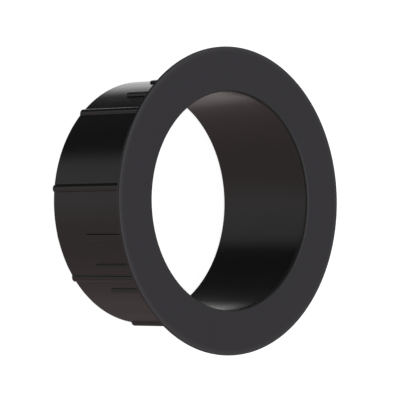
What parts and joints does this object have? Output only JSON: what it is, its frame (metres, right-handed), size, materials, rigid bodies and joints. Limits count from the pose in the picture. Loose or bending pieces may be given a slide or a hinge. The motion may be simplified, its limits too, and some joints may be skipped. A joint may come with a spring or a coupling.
{
  "type": "toilet flange",
  "caption": "Plain round toilet flange: a flat collar plate with a central opening on a deep cylindrical pipe socket with lengthwise ribs on its outside.",
  "frame": {"origin": "on the barrel's axis, at the level of its open lower end", "axes": "+Z along the axis, up out of the flange's face, away from the drain pipe; +X and +Y lie in the plane of the open end"},
  "size_m": [0.1524, 0.1524, 0.0635],
  "materials": {
    "matte_charcoal": "fine spark-textured moulded plastic",
    "gloss_black": "polished moulded plastic"
  },
  "bodies": {
    "root": {"flange_ring": "matte_charcoal", "ribbed_hub": "gloss_black"}
  },
  "joints": []
}
